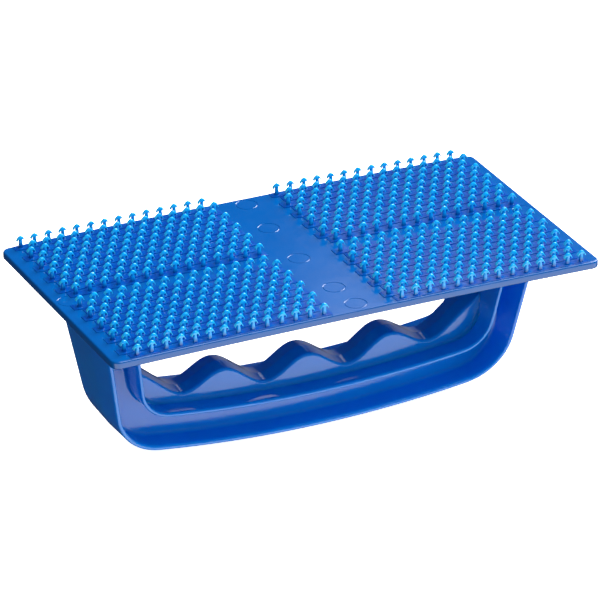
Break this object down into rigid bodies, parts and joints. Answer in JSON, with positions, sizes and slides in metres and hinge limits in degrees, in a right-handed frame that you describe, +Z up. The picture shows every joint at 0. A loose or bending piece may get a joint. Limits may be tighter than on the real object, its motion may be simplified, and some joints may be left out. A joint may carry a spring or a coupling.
{
  "type": "hand-held griddle pad holder",
  "caption": "Hand-held holder for scouring or erasing pads: a rectangular plate with fields of small barbed hooks on a stirrup handle with finger grooves.",
  "frame": {"origin": "centre of the handle's flat base facet, the lowest point, below the middle of the plate", "axes": "+Z up, towards the hooks; +X along the plate; +Y across the plate, the way a hand passes through the handle"},
  "size_m": [0.15, 0.08, 0.0545],
  "materials": {
    "plate": "moulded polypropylene, satin gloss",
    "hooks": "moulded polypropylene, slightly translucent, glossy",
    "handle": "moulded polypropylene, glossy"
  },
  "bodies": {
    "root": {"base_plate": "plate", "hook_row_left_01": "hooks", "hook_row_left_02": "hooks", "hook_row_left_03": "hooks", "hook_row_left_04": "hooks", "hook_row_left_05": "hooks", "hook_row_left_06": "hooks", "hook_row_left_07": "hooks", "hook_row_left_08": "hooks", "hook_row_left_09": "hooks", "hook_row_left_10": "hooks", "hook_row_left_11": "hooks", "hook_row_left_12": "hooks", "hook_row_left_13": "hooks", "hook_row_left_14": "hooks", "hook_row_left_15": "hooks", "hook_row_left_16": "hooks", "hook_row_left_17": "hooks", "hook_row_left_18": "hooks", "hook_row_left_19": "hooks", "hook_row_left_20": "hooks", "hook_row_right_01": "hooks", "hook_row_right_02": "hooks", "hook_row_right_03": "hooks", "hook_row_right_04": "hooks", "hook_row_right_05": "hooks", "hook_row_right_06": "hooks", "hook_row_right_07": "hooks", "hook_row_right_08": "hooks", "hook_row_right_09": "hooks", "hook_row_right_10": "hooks", "hook_row_right_11": "hooks", "hook_row_right_12": "hooks", "hook_row_right_13": "hooks", "hook_row_right_14": "hooks", "hook_row_right_15": "hooks", "hook_row_right_16": "hooks", "hook_row_right_17": "hooks", "hook_row_right_18": "hooks", "hook_row_right_19": "hooks", "hook_row_right_20": "hooks", "handle_outer_rim": "handle", "handle_inner_rim": "handle", "handle_web": "handle", "finger_grip": "handle"}
  },
  "joints": []
}
